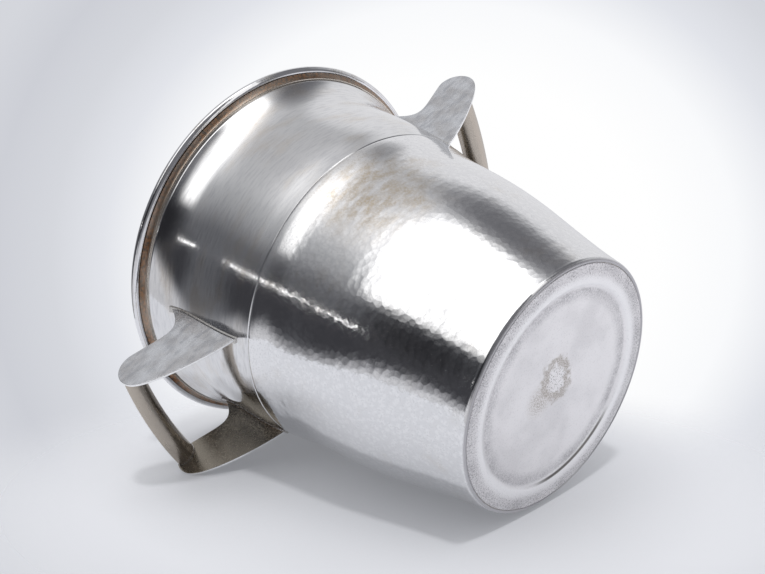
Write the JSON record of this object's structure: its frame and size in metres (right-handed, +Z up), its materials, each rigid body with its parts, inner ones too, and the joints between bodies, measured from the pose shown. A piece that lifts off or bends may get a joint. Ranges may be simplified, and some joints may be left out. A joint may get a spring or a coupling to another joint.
{
  "type": "champagne bucket",
  "caption": "Sheet-metal bucket for cooling bottles: hammered belly, smooth flared neck, wired rim, and fixed side handles of half-round bar between flat cheeks.",
  "frame": {"origin": "centre of the underside of the foot, where the bucket stands", "axes": "+Z up through the middle of the body, X through the two handles, Y along the grips"},
  "size_m": [0.2674, 0.2104, 0.2046],
  "materials": {
    "hammered_silver": "planished by hand, bright",
    "satin_silver": "satin, finely scratched",
    "base_silver": "dull, dusty and worn",
    "rim_silver": "polished",
    "tarnished_silver": "brown tarnish in the hollow, bright lip",
    "handle_silver": "brushed, slightly tarnished",
    "solder": "dull solder"
  },
  "bodies": {
    "root": {"belly_shell": "hammered_silver", "base_plate": "base_silver", "base_seam_solder": "solder", "neck_collar": "satin_silver", "shoulder_seam_solder": "solder", "rim_moulding": "tarnished_silver", "rim_wire": "rim_silver", "right_handle_front_cheek": "handle_silver", "right_handle_back_cheek": "handle_silver", "right_handle_grip": "handle_silver", "right_handle_front_foot_solder": "solder", "right_handle_back_foot_solder": "solder", "right_handle_grip_solder": "solder", "left_handle_front_cheek": "handle_silver", "left_handle_back_cheek": "handle_silver", "left_handle_grip": "handle_silver", "left_handle_front_foot_solder": "solder", "left_handle_back_foot_solder": "solder", "left_handle_grip_solder": "solder"}
  },
  "joints": []
}
